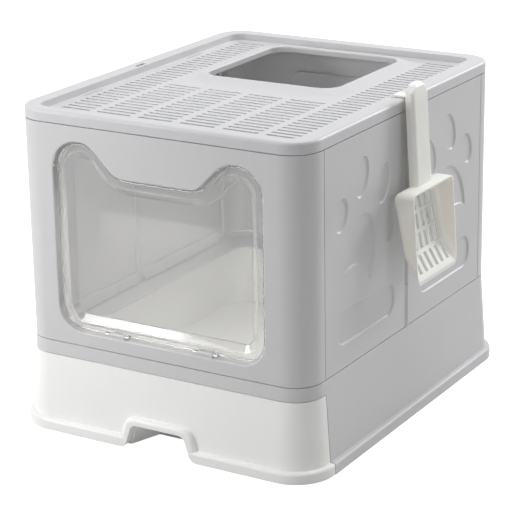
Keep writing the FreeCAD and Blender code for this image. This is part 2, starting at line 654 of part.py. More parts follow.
def oval(label, wide, long, x, y):
    """Upright elliptical plug, wide by long, at (x, y) of the paw's own plane."""
    rim = doc.addObject("Part::Ellipse", f"{label}_rim")
    bind(rim, MajorRadius=f"{long} / 2", MinorRadius=f"{wide} / 2")
    rim.Placement.Rotation = FreeCAD.Rotation(FreeCAD.Vector(0, 0, 1), 90)
    place(rim, x, y)
    plug = doc.addObject("Part::Extrusion", label)
    plug.Base = rim
    plug.DirMode = "Custom"
    plug.Dir = FreeCAD.Vector(0, 0, 1)
    plug.Solid = True
    bind(plug, LengthFwd="wall", TaperAngle="figure_draft")
    return plug


def side_panel(label, end):
    """Front (end -1) or rear (end 1) half of the right side, between a corner and the side hinge."""
    body = new_body(f"{label}_blank")
    near = f"({end} * (knuckle_radius + hinge_gap))"
    far = f"({end} * ({CORNER_Y} - {HALF_SEAM}))"
    pad(body, "top", SLEEVE_FOOT, "sleeve_height", rectangle(INSIDE, SIDE, *ordered(end, near, far)))
    middle_y = f"({end} * paw_middle)"
    foot = f"({SLEEVE_FOOT} + panel_lift)"
    pressed = pocket(body, "side", f"{SIDE} - figure_depth", "wall",
                     rectangle(f"{middle_y} - panel_long / 2", f"{middle_y} + panel_long / 2", foot,
                               f"{foot} + panel_high", "panel_round"))
    bind(pressed, TaperAngle="figure_draft")
    corner_y = f"({end} * {CORNER_Y})"
    web = ordered(end, f"({end} * ({CORNER_Y} - knuckle_radius))", far)
    knuckles(body, CORNER_X, corner_y, rectangle(CORNER_X, f"{INSIDE} + wall / 2", *web), 1)
    bore(body, CORNER_X, corner_y)
    web = ordered(end, "0", f"({near} + {end} * wall)")
    knuckles(body, MIDDLE_X, "0", rectangle(INSIDE, SIDE, *web), 0 if end < 0 else 1)
    bore(body, MIDDLE_X, "0")
    inner = f"({INSIDE} - tab_gap - tab_thick)"
    reach = ordered(end, f"({end} * strip_wide)", f"({end} * ({CORNER_Y} - tab_margin))")
    tongues(body, rectangle(inner, f"{INSIDE} + wall / 2", *reach),
            rectangle(inner, f"{INSIDE} - tab_gap", *reach))
    strip = ordered(end, f"({end} * strip_gap / 2)", f"({end} * strip_wide)")
    pad(body, "top", SLEEVE_FOOT, "sleeve_height", rectangle(inner, f"{inner} + strip_thick", *strip))
    foot_y = ordered(end, near, f"({end} * strip_wide)")
    pad(body, "top", SLEEVE_FOOT, "sleeve_height", rectangle(inner, f"{INSIDE} + wall / 2", *foot_y))
    panel = doc.addObject("Part::Cut", label)
    panel.Base = body
    panel.Tool = paw(f"{label}_paw", end)
    panel.Label = label
    return panel


def mirrored(source, label):
    """Left-hand copy of a right-hand piece."""
    copy = doc.addObject("Part::Mirroring", label)
    copy.Source = source
    copy.Normal = FreeCAD.Vector(1, 0, 0)
    copy.Label = label
    return copy


def upright_pin(label, x, y):
    pin = doc.addObject("Part::Cylinder", label)
    pin.Label = label
    bind(pin, Radius="pin_radius", Height="sleeve_height - 2 * knuckle_gap")
    place(pin, x, y, f"{SLEEVE_FOOT} + knuckle_gap")
    return pin


# Clear door

def make_door():
    body = new_body("door")

    def dish(depth, side):
        """Section of the dish's sloped sides at a depth behind the door's front."""
        slope = f"dish_slope * ({depth}) / (door_depth - door_wall)"
        return (f"({DOOR_FRONT} + {depth})", ear_outline(f"({DOOR_INSET} + rim_width - {side} + {slope})"))

    pad(body, "front", DOOR_FRONT, "door_depth", ear_outline(DOOR_INSET))
    pocket(body, "front", f"{DOOR_FRONT} + door_wall", "door_depth",
           ear_outline(f"({DOOR_INSET} + door_wall)"))
    loft("Additive", body, "front", dish("door_wall / 2", "dish_side"), dish("door_depth", "dish_side"))
    loft("Subtractive", body, "front", dish("-door_wall", "0"), dish("(door_depth - door_wall)", "0"))
    front = value(DOOR_FRONT)
    round_edges(body, "rim_round", lambda box: at(box.YMin, front) and at(box.YMax, front))
    slot_half = "(lug_width / 2 + lug_gap)"
    snap_out = "(door_gap - snap_gap)"
    for hand in (-1, 1):
        middle = f"({hand} * lug_middle)"
        for cheek_start in (f"{middle} - {slot_half} - cheek", f"{middle} + {slot_half}"):
            pad(body, "side", cheek_start, "cheek", (DOOR_AXIS_Y, DOOR_AXIS_Z, "lug_radius"))
            pad(body, "side", cheek_start, "cheek",
                rectangle(DOOR_AXIS_Y, f"{DOOR_FRONT} + door_wall", f"{DOOR_AXIS_Z} - lug_radius",
                          f"{DOOR_AXIS_Z} + lug_radius"))
        reach = f"({slot_half} + cheek + lug_gap)"
        pocket(body, "side", f"{middle} - {reach}", f"2 * {reach}",
               (DOOR_AXIS_Y, DOOR_AXIS_Z, "door_pin_radius + pin_clearance"))
        slit = f"({DOOR_FOOT} + rim_slit_lift)"
        pocket(body, "front", f"{DOOR_FRONT} - door_wall", "2 * door_wall + rim_slit / 2",
               rectangle(f"{middle} - lug_width / 2", f"{middle} + lug_width / 2", slit,
                         f"{slit} + rim_slit"))
        side = f"({hand} * (door_half - {DOOR_INSET}))"
        start = f"{side} - door_wall / 2" if hand > 0 else f"{side} - {snap_out}"
        pad(body, "side", start, f"{snap_out} + door_wall / 2",
            (f"{DOOR_FRONT} + door_depth / 2", f"{SLEEVE_TOP} - snap_drop", "snap_radius"))
    return body


def make_door_pins():
    pins = []
    for hand in (-1, 1):
        pin = doc.addObject("Part::Cylinder", "door_pin")
        bind(pin, Radius="door_pin_radius", Height="lug_width + 2 * (lug_gap + cheek)")
        pin.Placement.Rotation = FreeCAD.Rotation(FreeCAD.Vector(0, 1, 0), 90)
        place(pin, f"{hand} * lug_middle - lug_width / 2 - lug_gap - cheek", DOOR_AXIS_Y, DOOR_AXIS_Z)
        pins.append(pin)
    group = doc.addObject("Part::Compound", "door_hinge_pins")
    group.Links = pins
    group.Label = "door_hinge_pins"
    return group


# Lid

def deck_plan(out):
    """Plan of the lid's sunk deck, grown by out."""
    side = f"({SIDE} - rim + {out})"
    return rectangle(f"-{side}", side, f"({FRONT} + rim_front - {out})", f"({REAR} - rim + {out})",
                     f"recess_radius + {out}")


def entry_plan(out):
    """Plan of the top opening, grown by out."""
    side, half = f"(entry_wide / 2 + {out})", f"(entry_deep / 2 + {out})"
    return rectangle(f"-{side}", side, f"entry_back - {half}", f"entry_back + {half}",
                     f"entry_radius + {out}")


def make_lid():
    body = new_body("lid")
    pad(body, "top", LID_FOOT, "lid_height", box_plan("0"))
    round_edges(body, "lid_round", lambda box: level(box, value(LID_TOP)))
    pocket(body, "top", DECK_TOP, "2 * recess", deck_plan("0"))
    pocket(body, "top", f"{LID_FOOT} - wall", f"{DECK_UNDER} - {LID_FOOT} + wall", box_plan("-wall"))
    pocket(body, "top", DECK_UNDER, "recess + deck - wall", box_plan("-wall"), deck_plan("wall"))
    crown_top = f"({DECK_TOP} + entry_rise)"
    ramp, crown = entry_plan("(entry_crown + entry_ramp)"), entry_plan("entry_crown")
    loft("Additive", body, "top", (f"{DECK_TOP} - deck / 2", ramp), (crown_top, crown))
    loft("Subtractive", body, "top", (DECK_UNDER, ramp), (f"{crown_top} - deck", crown))
    pocket(body, "top", LID_FOOT, "2 * lid_height", entry_plan("0"))
    round_edges(body, "entry_round", lambda box: level(box, value(crown_top))
                and box.XMax < value("entry_wide / 2 + 1") and box.XMin > value("-entry_wide / 2 - 1")
                and box.YMin > value("entry_back - entry_deep / 2 - 1")
                and box.YMax < value("entry_back + entry_deep / 2 + 1"))
    pad(body, "top", DECK_UNDER, "entry_rise", entry_plan("deck"), entry_plan("0"))
    first = ("-(vent_front + vent_wide / 2)", "-(vent_front - vent_wide / 2)")
    row = []
    for column in range(INNER_VENT_COLUMNS):
        middle = f"({column - (INNER_VENT_COLUMNS - 1) / 2} * vent_column)"
        row.append(rectangle(f"{middle} - vent_long / 2", f"{middle} + vent_long / 2", *first))
    vents = pocket(body, "top", LID_FOOT, "lid_height", *row)
    repeat(body, [vents], "Y", "vent_step", INNER_VENT_ROWS)
    row = []
    for hand in (-1, 1):
        middle = f"({hand} * vent_side)"
        row.append(rectangle(f"{middle} - vent_side_long / 2", f"{middle} + vent_side_long / 2", *first))
    vents = pocket(body, "top", LID_FOOT, "lid_height", *row)
    repeat(body, [vents], "Y", "vent_step", SIDE_VENT_ROWS)
    slits = []
    for hand in (-1, 1):
        middle = f"({hand} * ({SIDE} - rim - slit_inset))"
        for y in ("-slit_front", "slit_rear"):
            slits.append(rectangle(f"{middle} - slit_wide / 2", f"{middle} + slit_wide / 2",
                                   f"{y} - slit_long / 2", f"{y} + slit_long / 2"))
    pocket(body, "top", LID_FOOT, "lid_height", *slits)
    hangs = []
    for hand in (-1, 1):
        middle = f"({hand} * ({SIDE} - hang_inset))"
        hangs.append(rectangle(f"{middle} - hang_wide / 2", f"{middle} + hang_wide / 2",
                               "-hang_long / 2", "hang_long / 2"))
    pocket(body, "top", f"{LID_TOP} - 2 * wall", "3 * wall", *hangs)
    return body


# Scoop

BOWL_TOP = f"({LID_TOP} - handle_below)"


def handle_back(z):
    """Back line of the scoop's leaning handle at the height z."""
    return f"({SIDE} + scoop_clear + ({LID_TOP} - ({z})) * tan(scoop_lean))"


def mouth_line(z):
    """Open side of the scoop's bowl at the height z."""
    return f"({handle_back(z)} + handle_thick + mouth_out)"


def make_scoop():
    body = new_body("scoop")
    bowl_foot = f"({BOWL_TOP} - bowl_long)"
    bend = f"({BOWL_TOP} - bend_drop)"
    pad(body, "front", "-bowl_wide / 2", "bowl_wide",
        [(f"{mouth_line(BOWL_TOP)} - bowl_deep", BOWL_TOP, "bowl_round"),
         (f"{mouth_line(bend)} - bend_deep", bend, "bend_round"),
         (mouth_line(bowl_foot), bowl_foot, "0"), (mouth_line(BOWL_TOP), BOWL_TOP, "0")])
    reach = value(mouth_line(BOWL_TOP)) - 0.1
    half = value("bowl_wide / 2")
    round_edges(body, "side_round",
                lambda box: at(box.YMin, box.YMax) and at(abs(box.YMin), half) and box.XMin < reach)
    doc.recompute()
    block = body.Tip
    mouth = [f"Face{i}" for i, face in enumerate(block.Shape.Faces, 1) if face.BoundBox.XMin > reach]
    shell = body.newObject("PartDesign::Thickness", "scoop_shell")
    shell.Base = (block, mouth)
    shell.Reversed = True
    bind(shell, Value="bowl_wall")
    sift(body, bowl_foot)
    add_handle(body)
    return body


def sift(body, bowl_foot):
    """Rows of slots through the floor of the bowl."""
    left = f"(-sift_step * {(SIFT_COLUMNS - 1) / 2})"
    low = f"({bowl_foot} + sift_foot)"
    row = []
    for column in range(SIFT_COLUMNS):
        y = f"({left} + sift_step * {column})"
        row.append(rectangle(f"{y} - sift_wide / 2", f"{y} + sift_wide / 2", low, f"{low} + sift_long"))
    slots = pocket(body, "side", f"{SIDE} - scoop_clear", "3 * bowl_deep", *row)
    repeat(body, [slots], "Z", "sift_row", SIFT_ROWS)


def leaning_bar(top, foot, front, back):
    """Side view of a bar along the scoop's leaning handle, between two offsets from its back line."""
    return [(f"{handle_back(top)} + {back}", top, "0"), (f"{handle_back(foot)} + {back}", foot, "0"),
            (f"{handle_back(foot)} + {front}", foot, "0"), (f"{handle_back(top)} + {front}", top, "0")]


def add_handle(body):
    """Hollow handle that leans off the wall, and the hook that hangs it on the lid's rim."""
    top, foot = f"({LID_TOP} + handle_above)", f"({BOWL_TOP} - bowl_wall / 2)"
    pad(body, "front", "-handle_wide / 2", "handle_wide", leaning_bar(top, foot, "handle_thick", "0"))
    crown = value(top)
    half = value("handle_wide / 2")
    round_edges(body, "handle_crown", lambda box: at(box.ZMax, crown) and at(abs(box.YMin), half)
                and at(box.YMin, box.YMax) and box.ZMin > crown - 1)
    back = value(handle_back(top) + " + 1")
    round_edges(body, "handle_round", lambda box: box.ZMax > crown - half and box.XMin > back)
    pocket(body, "front", "-(handle_wide / 2 - bowl_wall)", "handle_wide - 2 * bowl_wall",
           leaning_bar(f"({top} - bowl_wall)", BOWL_TOP, "(handle_thick - bowl_wall)", "(-bowl_wall)"))
    slab = f"({LID_TOP} + hook_gap)"
    tip = f"({SIDE} - hang_inset)"
    inner = f"({handle_back(LID_TOP)} + handle_thick - bowl_wall / 2)"
    pad(body, "front", "-hook_wide / 2", "hook_wide",
        [(f"{tip} - hook_thick / 2", f"{slab} + hook_thick", "hook_thick / 2"),
         (f"{tip} - hook_thick / 2", f"{LID_TOP} - hook_down", "0"),
         (f"{tip} + hook_thick / 2", f"{LID_TOP} - hook_down", "0"), (f"{tip} + hook_thick / 2", slab, "0"),
         (inner, slab, "0"), (inner, f"{slab} + hook_thick", "0")])


def check(parts):
    """Stop before anything is written if a feature failed, cut nothing or gave a bad solid."""
    for item in doc.Objects:
        if "Invalid" in item.State or "Error" in item.State:
            raise RuntimeError(f"{item.Name} failed: {item.State}")
        if item.TypeId == "PartDesign::Pocket":
            if item.Shape.Volume > item.BaseFeature.Shape.Volume - 0.01:
                raise RuntimeError(f"{item.Name} cuts nothing")
    for part in parts:
        if part.Shape.isNull() or not part.Shape.isValid():
            raise RuntimeError(f"{part.Label} has no valid shape")


def main():
    right_front = side_panel("right_front_panel", -1)
    right_rear = side_panel("right_rear_panel", 1)
    parts = [make_base(), make_drawer(), make_front_wall(), make_rear_wall(), right_front, right_rear,
             mirrored(right_front, "left_front_panel"), mirrored(right_rear, "left_rear_panel"),
             make_door(), make_door_pins(), make_lid(), make_scoop()]
    for hand, side in (("", "right"), ("-", "left")):
        parts.append(upright_pin(f"front_{side}_pin", hand + CORNER_X, f"-{CORNER_Y}"))
        parts.append(upright_pin(f"side_{side}_pin", hand + MIDDLE_X, "0"))
        parts.append(upright_pin(f"rear_{side}_pin", hand + CORNER_X, CORNER_Y))
    doc.recompute()
    check(parts)
    os.makedirs("parts", exist_ok=True)
    for part in parts:
        part.Shape.exportStep(f"parts/{part.Label}.step")
        print(f"{part.Label}: {len(part.Shape.Solids)} solid, {part.Shape.Volume / 1000:.1f} cm3")


main()
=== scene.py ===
"""Covered litter box: finishes for its moulded pieces and its clear door, in a plain white studio."""
import json
import math

import bpy
from mathutils import Matrix, Vector


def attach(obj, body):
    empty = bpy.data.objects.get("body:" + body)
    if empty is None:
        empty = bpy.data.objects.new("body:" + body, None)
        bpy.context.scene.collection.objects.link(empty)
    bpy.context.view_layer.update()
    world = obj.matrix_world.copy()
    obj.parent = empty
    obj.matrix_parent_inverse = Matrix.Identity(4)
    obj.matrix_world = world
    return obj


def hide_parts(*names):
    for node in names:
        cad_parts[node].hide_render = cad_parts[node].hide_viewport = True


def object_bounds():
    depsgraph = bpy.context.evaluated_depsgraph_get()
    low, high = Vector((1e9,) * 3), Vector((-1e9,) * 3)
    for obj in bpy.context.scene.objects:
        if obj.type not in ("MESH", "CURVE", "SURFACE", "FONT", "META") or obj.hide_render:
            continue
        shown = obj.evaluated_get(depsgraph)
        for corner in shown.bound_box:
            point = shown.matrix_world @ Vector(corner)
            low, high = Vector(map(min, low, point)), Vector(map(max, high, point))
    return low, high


bl_info = {
    "name": "Covered litter box",
    "version": (1, 0, 0),
    "blender": (4, 5, 0),
    "location": "3D View > Sidebar > Litter box",
    "description": "Finishes the pieces of a folding covered litter box and sets up a white studio",
    "category": "Object",
}

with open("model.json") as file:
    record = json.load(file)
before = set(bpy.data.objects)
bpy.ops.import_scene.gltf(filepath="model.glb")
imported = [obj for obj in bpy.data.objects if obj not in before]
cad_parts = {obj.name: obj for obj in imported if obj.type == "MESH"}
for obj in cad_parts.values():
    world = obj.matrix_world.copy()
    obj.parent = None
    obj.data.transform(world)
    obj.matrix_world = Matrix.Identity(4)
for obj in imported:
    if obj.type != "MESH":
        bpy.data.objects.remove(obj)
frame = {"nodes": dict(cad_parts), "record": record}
NODES = frame["nodes"]
BODY_OF = {node: body for body, nodes in frame["record"]["behaviour"]["bodies"].items() for node in nodes}
CAD_LOW, CAD_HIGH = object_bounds()

WALLS = (
    "front_wall", "rear_wall", "right_front_panel", "right_rear_panel",
    "left_front_panel", "left_rear_panel",
)
UPRIGHT_PINS = (
    "front_left_pin", "front_right_pin", "side_left_pin", "side_right_pin", "rear_left_pin", "rear_right_pin",
)

MERGE = 1e-6
SHARP_ANGLE = math.radians(28)
BEVEL_SEGMENTS = 2
PHOTO_SENSOR = 36.0
LIGHT_SPREAD = (1.0, 0.88, 0.78)
PLASTIC_IOR = 1.5
WHITE = (1, 1, 1, 1)

# Surface noise: scales in waves per metre, and the parts of its range that are used
WALL_WAVES = 22.0
WAVE_HEIGHT = 0.9
SHEEN_WAVES = 14.0
BROAD_WAVES = 9.0
FLOW_WAVES = 34.0
EDGE_PATCH_WAVES = 60.0
NOISE_LOW = 0.25
NOISE_HIGH = 0.75
CONVEX_LOW = 0.53
CONVEX_HIGH = 0.62
# How much paler convex edges are made: partly wear, partly a painted highlight
EDGE_PALER = 0.12
SHEEN_DRIFT = 0.05
FLOOR_DRIFT = 0.004

# Clear door and drawn wire
DOOR_GRAIN = 8
DOOR_SHEEN = 0.03
DOOR_SHEEN_DRIFT = 0.02
DOOR_BUMP = 0.02
WIRE_GRAIN = 0.0003
WIRE_SHEEN = 0.32
WIRE_SHEEN_DRIFT = 0.08
WIRE_DRIFT = 0.06

# Soft lights: place and side in metres, beam in degrees
KEY_PLACE = (-0.75, -0.95, 0.55)
KEY_SIDE = 0.6
KEY_BEAM = 120
FRONT_PLACE = (0.7, -2.2, 0.9)
FRONT_SIDE = 1.2
FILL_PLACE = (2.3, -0.3, 1.0)
FILL_SIDE = 1.4
REAR_PLACE = (1.3, 2.6, 1.5)
REAR_SIDE = 0.8
TOP_PLACE = (0.1, 0.3, 2.5)
TOP_SIDE = 1.8
CABIN_PLACE = (0.0, -0.18, 0.3)
CABIN_SIDE = 0.16
CABIN_BEAM = 110
OPEN_BEAM = 180


class BoxFinish(bpy.types.PropertyGroup):
    """Colours and surface of the plastic."""

    wall_colour: bpy.props.FloatVectorProperty(
        name="Walls", description="Light grey of the folding walls",
        subtype="COLOR", size=4, min=0, max=1, default=(0.63, 0.63, 0.64, 1))
    base_colour: bpy.props.FloatVectorProperty(
        name="Base", description="Grey of the base",
        subtype="COLOR", size=4, min=0, max=1, default=(0.63, 0.63, 0.64, 1))
    # The lid's faint extra blue over the wall grey is a painted tint of the light that falls on its top
    lid_colour: bpy.props.FloatVectorProperty(
        name="Lid", description="Grey of the lid",
        subtype="COLOR", size=4, min=0, max=1, default=(0.63, 0.63, 0.645, 1))
    drawer_colour: bpy.props.FloatVectorProperty(
        name="Drawer", description="White of the litter drawer",
        subtype="COLOR", size=4, min=0, max=1, default=(0.95, 0.95, 0.93, 1))
    scoop_colour: bpy.props.FloatVectorProperty(
        name="Scoop", description="Warm white of the scoop",
        subtype="COLOR", size=4, min=0, max=1, default=(0.92, 0.905, 0.85, 1))
    door_colour: bpy.props.FloatVectorProperty(
        name="Door", description="Faint tint of the clear door",
        subtype="COLOR", size=4, min=0, max=1, default=(0.985, 0.985, 0.98, 1))
    steel_colour: bpy.props.FloatVectorProperty(
        name="Door pins", description="Drawn steel of the door's two hinge pins",
        subtype="COLOR", size=4, min=0, max=1, default=(0.62, 0.62, 0.63, 1))
    edge_round: bpy.props.FloatProperty(
        name="Edge rounding", description="Rounding that the mould leaves on a sharp edge",
        unit="LENGTH", min=0, max=0.002, default=0.0005)
    grain_size: bpy.props.FloatProperty(
        name="Grain", description="Size of the fine grain of the moulded plastic",
        unit="LENGTH", min=1e-4, max=0.01, default=0.0006)
    door_haze: bpy.props.FloatProperty(
        name="Door haze", description="Share of light that the clear plastic scatters",
        min=0, max=1, default=0.05)
    edge_tint: bpy.props.FloatVectorProperty(
        name="Edge tint", description="Tint of the clear plastic where it is seen edge on",
        subtype="COLOR", size=4, min=0, max=1, default=(0.78, 0.74, 0.70, 1))
    edge_depth: bpy.props.FloatProperty(
        name="Edge depth", description="Strength of the tint in the clear plastic, per metre",
        min=0, max=500, default=60.0)
    light_reach: bpy.props.FloatProperty(
        name="Light reach", description="How far light travels inside the thin plastic",
        unit="LENGTH", min=0, max=0.02, default=0.004)
    door_ior: bpy.props.FloatProperty(
        name="Door refraction", description="Refractive index of the clear door",
        min=1, max=2, default=1.49)


class BoxStudio(bpy.types.PropertyGroup):
    """Camera, floor and soft lights."""

    camera_place: bpy.props.FloatVectorProperty(
        name="Camera place", description="Where the camera stands",
        subtype="TRANSLATION", unit="LENGTH", default=(1.165, -1.948, 0.916))
    yaw: bpy.props.FloatProperty(
        name="Yaw", description="Turn of the camera to the left of straight back",
        unit="ROTATION", default=math.radians(31.2))
    pitch: bpy.props.FloatProperty(
        name="Pitch", description="Tilt of the camera below level",
        unit="ROTATION", default=math.radians(18.27))
    roll: bpy.props.FloatProperty(
        name="Roll", description="Roll of the camera",
        unit="ROTATION", default=math.radians(-0.99))
    lens: bpy.props.FloatProperty(
        name="Lens", description="Focal length in millimetres on a 36 mm sensor",
        min=10, max=400, default=138.8)
    floor_half: bpy.props.FloatProperty(
        name="Floor", description="Half the width of the floor",
        unit="LENGTH", min=1, default=9.0)
    floor_shade: bpy.props.FloatProperty(
        name="Floor shade", description="How much light the floor throws back at the box",
        min=0, max=1, default=0.5)
    floor_glow: bpy.props.FloatProperty(
        name="Floor glow", description="Light that the camera sees in the overexposed floor",
        min=0, max=2, default=1.0)
    air: bpy.props.FloatProperty(
        name="Room light", description="Even light of the room on the box",
        min=0, max=3, default=0.10)
    key_power: bpy.props.FloatProperty(
        name="Key light", description="Power of the light at the front left",
        unit="POWER", min=0, default=3.7)
    front_power: bpy.props.FloatProperty(
        name="Front light", description="Power of the light near the camera",
        unit="POWER", min=0, default=5.2)
    fill_power: bpy.props.FloatProperty(
        name="Fill light", description="Power of the light on the right",
        unit="POWER", min=0, default=6.0)
    rear_power: bpy.props.FloatProperty(
        name="Rear light", description="Power of the light behind on the right",
        unit="POWER", min=0, default=38.0)
    top_power: bpy.props.FloatProperty(
        name="Top light", description="Power of the light over the box",
        unit="POWER", min=0, default=40.0)
    cabin_power: bpy.props.FloatProperty(
        name="Cabin light", description="Power of the small light inside the box",
        unit="POWER", min=0, default=0.13)


def add_node(tree, kind, x, y, **settings):
    """A node of a tree, placed and set."""
    node = tree.nodes.new(kind)
    node.location = (x, y)
    for name, value in settings.items():
        setattr(node, name, value)
    return node


def join(tree, source, target):
    """A link between two sockets."""
    tree.links.new(source, target)


def new_group(name, inputs, outputs):
    """An empty shader node group with its sockets; inputs are (name, kind, default)."""
    group = bpy.data.node_groups.new(name, "ShaderNodeTree")
    for label, kind, default in inputs:
        socket = group.interface.new_socket(label, in_out="INPUT", socket_type=kind)
        socket.default_value = default
    for label, kind in outputs:
        group.interface.new_socket(label, in_out="OUTPUT", socket_type=kind)
    start = add_node(group, "NodeGroupInput", -900, 0)
    end = add_node(group, "NodeGroupOutput", 700, 0)
    return group, start, end


def noise(tree, x, y, coords, scale, detail=2.0, roughness=0.5):
    """Noise on object coordinates; scale is a number or a socket."""
    node = add_node(tree, "ShaderNodeTexNoise", x, y)
    join(tree, coords, node.inputs["Vector"])
    if isinstance(scale, (int, float)):
        node.inputs["Scale"].default_value = scale
    else:
        join(tree, scale, node.inputs["Scale"])
    node.inputs["Detail"].default_value = detail
    node.inputs["Roughness"].default_value = roughness
    return node.outputs["Fac"]


def spread(tree, x, y, source, low, high):
    """A 0 to 1 value spread from low to high; low and high are numbers or sockets."""
    node = add_node(tree, "ShaderNodeMapRange", x, y)
    join(tree, source, node.inputs["Value"])
    node.inputs["From Min"].default_value = NOISE_LOW
    node.inputs["From Max"].default_value = NOISE_HIGH
    for name, value in (("To Min", low), ("To Max", high)):
        if isinstance(value, (int, float)):
            node.inputs[name].default_value = value
        else:
            join(tree, value, node.inputs[name])
    return node.outputs["Result"]


def arithmetic(tree, x, y, operation, first, second):
    """A Math node; first and second are numbers or sockets."""
    node = add_node(tree, "ShaderNodeMath", x, y, operation=operation)
    for socket, value in zip(node.inputs, (first, second)):
        if isinstance(value, (int, float)):
            socket.default_value = value
        else:
            join(tree, value, socket)
    return node.outputs["Value"]


def moulded_grain_group():
    """Fine spark-eroded grain over the slow waves of a cooled wall, with a sheen that drifts."""
    group, start, end = new_group(
        "Moulded grain",
        [("Grain size", "NodeSocketFloat", 0.0006), ("Sheen", "NodeSocketFloat", 0.42),
         ("Sheen drift", "NodeSocketFloat", 0.05)],
        [("Height", "NodeSocketFloat"), ("Roughness", "NodeSocketFloat")])
    coords = add_node(group, "ShaderNodeTexCoord", -900, -260).outputs["Object"]
    fineness = arithmetic(group, -700, 0, "DIVIDE", 1.0, start.outputs["Grain size"])
    grain = noise(group, -480, 60, coords, fineness, detail=3.0)
    waves = noise(group, -480, -180, coords, WALL_WAVES, detail=1.0)
    waves = arithmetic(group, -260, -180, "MULTIPLY", waves, WAVE_HEIGHT)
    join(group, arithmetic(group, -40, 60, "ADD", grain, waves), end.inputs["Height"])
    drift = noise(group, -480, -420, coords, SHEEN_WAVES, detail=3.0)
    low = arithmetic(group, -260, -420, "SUBTRACT", start.outputs["Sheen"], start.outputs["Sheen drift"])
    high = arithmetic(group, -260, -600, "ADD", start.outputs["Sheen"], start.outputs["Sheen drift"])
    join(group, spread(group, -40, -420, drift, low, high), end.inputs["Roughness"])
    return group


def resin_drift_group():
    """Slow, faint drift in the colour of a moulded resin."""
    group, start, end = new_group(
        "Resin drift",
        [("Colour", "NodeSocketColor", (0.5, 0.5, 0.5, 1)), ("Drift", "NodeSocketFloat", 0.02)],
        [("Colour", "NodeSocketColor")])
    coords = add_node(group, "ShaderNodeTexCoord", -900, -260).outputs["Object"]
    broad = noise(group, -600, -100, coords, BROAD_WAVES, detail=2.0)
    flow = noise(group, -600, -340, coords, FLOW_WAVES, detail=4.0, roughness=0.6)
    both = arithmetic(group, -380, -200, "ADD", broad, flow)
    half = arithmetic(group, -200, -200, "MULTIPLY", both, 0.5)
    dark = arithmetic(group, -380, 40, "SUBTRACT", 1.0, start.outputs["Drift"])
    light = arithmetic(group, -380, 200, "ADD", 1.0, start.outputs["Drift"])
    factor = spread(group, 0, -100, half, dark, light)
    shade = add_node(group, "ShaderNodeVectorMath", 300, 0, operation="SCALE")
    join(group, start.outputs["Colour"], shade.inputs[0])
    join(group, factor, shade.inputs["Scale"])
    join(group, shade.outputs["Vector"], end.inputs["Colour"])
    return group


def worn_and_highlit_edges_group():
    """Paler convex edges: partly wear from handling, partly a painted highlight."""
    group, start, end = new_group(
        "Rubbed edges",
        [("Colour", "NodeSocketColor", (0.5, 0.5, 0.5, 1)), ("Rubbed", "NodeSocketColor", (0.9, 0.9, 0.9, 1)),
         ("Amount", "NodeSocketFloat", 0.3)],
        [("Colour", "NodeSocketColor")])
    point = add_node(group, "ShaderNodeNewGeometry", -900, -260).outputs["Pointiness"]
    coords = add_node(group, "ShaderNodeTexCoord", -900, -500).outputs["Object"]
    patches = noise(group, -600, -420, coords, EDGE_PATCH_WAVES, detail=4.0, roughness=0.65)
    # Convex edges, found by pointiness, are made paler: partly wear, partly a painted highlight
    edge = add_node(group, "ShaderNodeMapRange", -600, -160)
    edge.inputs["From Min"].default_value = CONVEX_LOW
    edge.inputs["From Max"].default_value = CONVEX_HIGH
    join(group, point, edge.inputs["Value"])
    worn_and_lit = arithmetic(group, -360, -200, "MULTIPLY", edge.outputs["Result"], patches)
    mask = arithmetic(group, -160, -100, "MULTIPLY", worn_and_lit, start.outputs["Amount"])
    mix = add_node(group, "ShaderNodeMix", 200, 0, data_type="RGBA")
    join(group, mask, mix.inputs["Factor"])
    join(group, start.outputs["Colour"], mix.inputs["A"])
    join(group, start.outputs["Rubbed"], mix.inputs["B"])
    join(group, mix.outputs["Result"], end.inputs["Colour"])
    return group


def shared_group(name):
    """The named effect, built once."""
    makers = {
        "Moulded grain": moulded_grain_group,
        "Resin drift": resin_drift_group,
        "Rubbed edges": worn_and_highlit_edges_group,
    }
    return bpy.data.node_groups.get(name) or makers[name]()


def place_group(tree, name, x, y, **values):
    """A shared effect in a material, with its own values; names use _ for a space."""
    node = add_node(tree, "ShaderNodeGroup", x, y, node_tree=shared_group(name))
    for key, value in values.items():
        node.inputs[key.replace("_", " ")].default_value = value
    return node


def new_material(name):
    """A material with its shader and output only."""
    material = bpy.data.materials.new(name)
    material.use_nodes = True
    tree = material.node_tree
    tree.nodes.clear()
    shader = add_node(tree, "ShaderNodeBsdfPrincipled", 400, 0)
    output = add_node(tree, "ShaderNodeOutputMaterial", 800, 0)
    join(tree, shader.outputs["BSDF"], output.inputs["Surface"])
    return material, tree, shader, output


def add_grain(tree, shader, size, sheen, drift, bump):
    """Moulded grain on a shader, as its roughness and its bump."""
    finish = bpy.context.scene.litter_box_finish
    grain = place_group(tree, "Moulded grain", -500, -200, Grain_size=size, Sheen=sheen, Sheen_drift=drift)
    join(tree, grain.outputs["Roughness"], shader.inputs["Roughness"])
    relief = add_node(tree, "ShaderNodeBump", 0, -300)
    relief.inputs["Strength"].default_value = bump
    relief.inputs["Distance"].default_value = finish.grain_size
    join(tree, grain.outputs["Height"], relief.inputs["Height"])
    join(tree, relief.outputs["Normal"], shader.inputs["Normal"])


